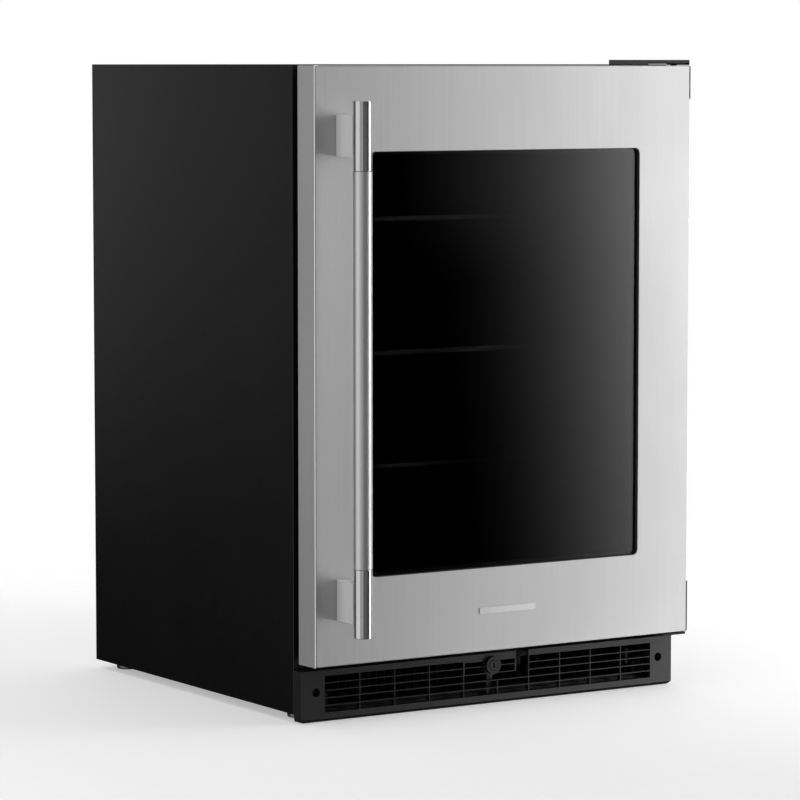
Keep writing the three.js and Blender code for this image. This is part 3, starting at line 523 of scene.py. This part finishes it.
def emitter(name, strength, shape):
    """A light card's material; shape(look) returns a socket from 0 to 1 that fades the light out."""
    look = Look(name)
    glow = look.add("Emission", {"Color": (1, 1, 1, 1), "Strength": strength})
    if shape:
        look.feed(glow.inputs["Strength"], look.times(shape(look), strength))
    look.surface(glow.outputs[0])
    look.tree.nodes.remove(look.shader)
    return look.material


def card(name, points, strength, shape=None):
    """A flat emitting card that the camera doesn't see. Its corner points are in the row frame."""
    mesh = bpy.data.meshes.new(name)
    mesh.from_pydata([Vector(p) for p in points], [], [(0, 1, 2, 3)])
    mesh.materials.append(emitter(name, strength, shape))
    made = bpy.data.objects.new(name, mesh)
    bpy.context.scene.collection.objects.link(made)
    made.visible_camera = False
    made.visible_shadow = False


def upright(start, end, low, high):
    """The corners of a standing card between two points of the floor plan."""
    return [(*start, low), (*end, low), (*end, high), (*start, high)]


def level(half, height):
    """The corners of a lying square card over the middle."""
    return [(-half, -half, height), (half, -half, height), (half, half, height), (-half, half, height)]


# The right softbox, in metres across (X) and up (Z). Each pair is where a step starts and ends, or
# what it leads from and to.
RIGHT = {
    "strength": 2.12,
    "root": (0.45, 0.909),  # cube root of the near edge's brightness at x = 0 and at x = 1
    "lean_from": 0.5,  # height at which the near edge stands at its own place
    "glow": 0.045,  # faint light in front of the edge, in the upper part
    "glow_across": (0.4, 0.6),
    "glow_up": (0.5, 0.68),
    "crest_across": (0.85, 1.15),  # the brightest stretch, beyond what the window mirrors
    "crest_up": (-0.2, 0.4),
    "crest": (0.75, 1.25),
    "far_across": (1.3, 1.8),
    "far_drop": 1.3,
    "foot": 0.65,  # more light low down
    "foot_across": (0.3, 0.9),
    "foot_up": (0.03, -0.5),
    "crown_up": (0.5, 0.9),  # less light at the top
    "crown": (1.0, 0.86),
}
WHOLE = (0.0, 1.0)


def right_fade(look):
    """The right softbox's near edge leans, and glows a little before it in the upper part."""
    across, up = look.along(0), look.along(2)
    lean = look.times(look.sum(up, RIGHT["lean_from"], "SUBTRACT"), SLANT)
    slope = look.span(look.sum(across, lean), WHOLE, RIGHT["root"])
    early = look.times(look.ease(across, *RIGHT["glow_across"]), look.ease(up, *RIGHT["glow_up"]))
    edge = look.sum(look.sum(slope, 3.0, "POWER"), look.times(early, RIGHT["glow"]))
    higher = look.span(look.ease(up, *RIGHT["crest_up"]), RIGHT["crest"], WHOLE)
    crest = look.times(look.ease(across, *RIGHT["crest_across"]), higher)
    drop = look.times(look.ease(across, *RIGHT["far_across"]), RIGHT["far_drop"])
    foot = look.times(look.ease(across, *RIGHT["foot_across"]), look.ease(up, *RIGHT["foot_up"]))
    crown = look.span(look.ease(up, *RIGHT["crown_up"]), RIGHT["crown"], WHOLE)
    whole = look.sum(look.sum(edge, look.sum(crest, drop, "SUBTRACT")), look.times(foot, RIGHT["foot"]))
    return look.times(whole, crown)


def fade(axis, start, end):
    """Brightness that goes along an axis from nothing at start to full at end."""
    return lambda look: look.ease(look.along(axis), start, end)


def where_both(first, second):
    return lambda look: look.times(first(look), second(look))


X, Y, Z = 0, 1, 2

# The right softbox stands close to the door's front. The window mirrors its near edge, which fades
# out slowly. The cards reach below the floor, which polished faces don't mirror.
card("softbox_right", upright((0.3, -1.2), (3.2, -1.2), UNDER, EYE_LEVEL), RIGHT["strength"], right_fade)
card("softbox_upper", upright((-0.5, -1.7), (1.6, -1.7), 0.9, 2.3), 0.31, fade(X, 0.3, 1.1))
card("softbox_front", upright((-1.3, -3.0), (0.9, -3.0), UNDER, EYE_LEVEL), 0.12)
# The left softbox lights the handle and the door's left edge; its front edge fades to grey.
card("softbox_left", upright((-2.2, -1.45), (-2.2, 1.5), UNDER, EYE_LEVEL), 0.8,
     where_both(fade(Y, -1.45, -1.0), fade(Y, 1.4, 0.8)))
card("softbox_grey", upright((-4.0, -2.2), (-1.2, -2.2), -2.6, EYE_LEVEL), 0.42, fade(X, -0.9, -1.5))
# A dimmer one far behind shines along the side panel, most on its upper back corner.
card("softbox_behind", upright((-1.9, 2.0), (0.2, 2.0), 0.0, 2.4), 0.8,
     where_both(fade(Z, -0.3, 0.9), fade(X, -1.5, -0.75)))
# Two more that only the back and the right side mirror.
card("softbox_back", upright((3.4, 1.2), (0.5, 3.2), UNDER, 2.2), 0.8)
card("softbox_side", upright((3.6, -1.0), (3.6, 1.2), UNDER, 2.2), 0.35, fade(Y, -1.0, -0.3))
card("softbox_top", level(1.2, 2.4), 1.0)


SKY = {"From Min": 0.2, "From Max": 0.9, "To Min": 0.01, "To Max": 0.5}  # strength by the ray's rise


def world():
    """White to the camera; to everything else a dim room, darker towards the ground."""
    made = bpy.data.worlds.new("studio")
    made.use_nodes = True
    tree = made.node_tree
    tree.nodes.clear()

    def add(kind):
        return tree.nodes.new("ShaderNode" + kind)

    place, split = add("TexCoord"), add("SeparateXYZ")
    height, glow, white = add("MapRange"), add("Background"), add("Background")
    path, pick, out = add("LightPath"), add("MixShader"), add("OutputWorld")
    tree.links.new(place.outputs["Generated"], split.inputs[0])
    tree.links.new(split.outputs[2], height.inputs["Value"])
    for key, value in SKY.items():
        height.inputs[key].default_value = value
    tree.links.new(height.outputs[0], glow.inputs["Strength"])
    white.inputs["Color"].default_value = (1, 1, 1, 1)
    white.inputs["Strength"].default_value = 1.0
    tree.links.new(path.outputs["Is Camera Ray"], pick.inputs[0])
    tree.links.new(glow.outputs[0], pick.inputs[1])
    tree.links.new(white.outputs[0], pick.inputs[2])
    tree.links.new(pick.outputs[0], out.inputs["Surface"])
    bpy.context.scene.world = made


world()
bpy.context.scene.view_settings.view_transform = "Standard"


FLOOR_RADIUS = 2.6
FLOOR_FADE = (0.7, 1.9)  # from the middle, where the floor starts and ends giving way to white
FLOOR_GLOW = 0.4
FLOOR_SIDES = 96


def floor():
    """A pale round floor that fades into the backdrop."""
    turn = [2 * math.pi * i / FLOOR_SIDES for i in range(FLOOR_SIDES)]
    mesh = bpy.data.meshes.new("floor")
    mesh.from_pydata([(FLOOR_RADIUS * math.cos(a), FLOOR_RADIUS * math.sin(a), 0) for a in turn], [],
                     [list(range(len(turn)))])
    look = Look("floor", Specular_IOR_Level=0.15)
    grain = look.noise((160, 160, 160), 3.0)
    look.colour(look.tint(grain, grey(0.86), grey(0.9)))
    look.rough(look.span(grain, (0.6, 0.75)))
    source = look.add("TexCoord", {}).outputs["Object"]
    away = look.add("VectorMath", {0: source}, operation="LENGTH").outputs["Value"]
    gone = look.ease(away, *FLOOR_FADE)
    clear = look.add("BsdfTransparent", {}).outputs[0]
    look.shader.inputs["Emission Color"].default_value = (1, 1, 1, 1)
    look.shader.inputs["Emission Strength"].default_value = FLOOR_GLOW
    mixed = look.add("MixShader", {0: gone, 1: look.shader.outputs[0], 2: clear}).outputs[0]
    look.surface(mixed)
    mesh.materials.append(look.material)
    made = bpy.data.objects.new("floor", mesh)
    made.visible_glossy = False
    bpy.context.scene.collection.objects.link(made)


floor()

# ------------------------------------------------------------------ camera
LENS = 168.29
PITCH = 5.109
YAW = 32.626

eye = bpy.data.cameras.new("camera")
eye.lens = LENS
eye.sensor_width = 36.0
eye.clip_end = 40.0
camera = bpy.data.objects.new("camera", eye)
camera.location = (-2.8177, -4.4075, 0.8651)
camera.rotation_euler = (math.radians(90 - PITCH), 0, math.radians(-YAW))
bpy.context.scene.collection.objects.link(camera)
bpy.context.scene.camera = camera
